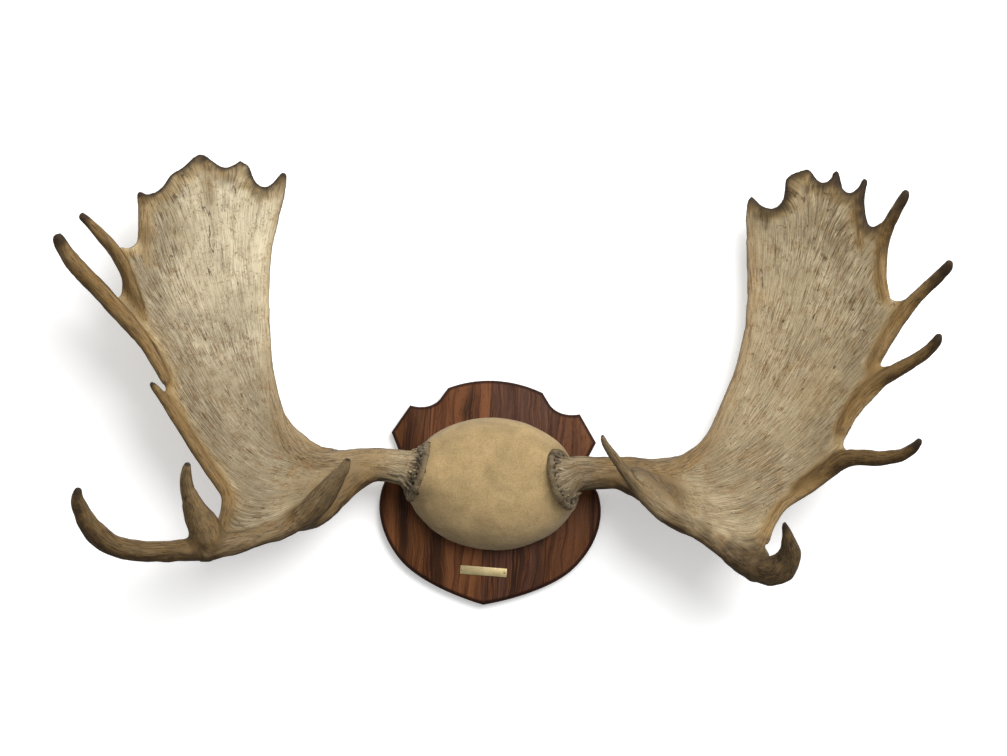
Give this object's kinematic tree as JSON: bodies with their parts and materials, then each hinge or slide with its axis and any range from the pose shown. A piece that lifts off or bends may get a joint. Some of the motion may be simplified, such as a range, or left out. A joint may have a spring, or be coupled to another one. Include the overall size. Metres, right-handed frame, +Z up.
{
  "type": "moose antler wall mount",
  "caption": "Palmate moose antlers on a suede-covered skull cap, screwed to a walnut shield plaque that hangs on a wall, with a blank brass name plate pinned below.",
  "frame": {"origin": "middle of the plaque's flat back, on the shield's centre line and halfway up", "axes": "+Z up; +Y back into the wall that the plaque hangs on; +X to the right of a person who faces it, along the spread"},
  "size_m": [1.2384, 0.2865, 0.642],
  "materials": {
    "walnut": "satin",
    "suede": "matte",
    "antler": "matte",
    "brass": "satin",
    "steel": "satin"
  },
  "bodies": {
    "root": {"plaque": "walnut", "skull_cap": "suede", "antler_left_main": "antler", "antler_left_brow": "antler", "antler_right_main": "antler", "antler_right_brow": "antler", "name_plate": "brass", "name_plate_pin_1": "brass", "name_plate_pin_2": "brass", "hanger_plate": "steel", "hanger_screw_1": "steel", "hanger_screw_2": "steel", "skull_screw_1": "steel", "skull_screw_2": "steel", "skull_screw_3": "steel"}
  },
  "joints": []
}
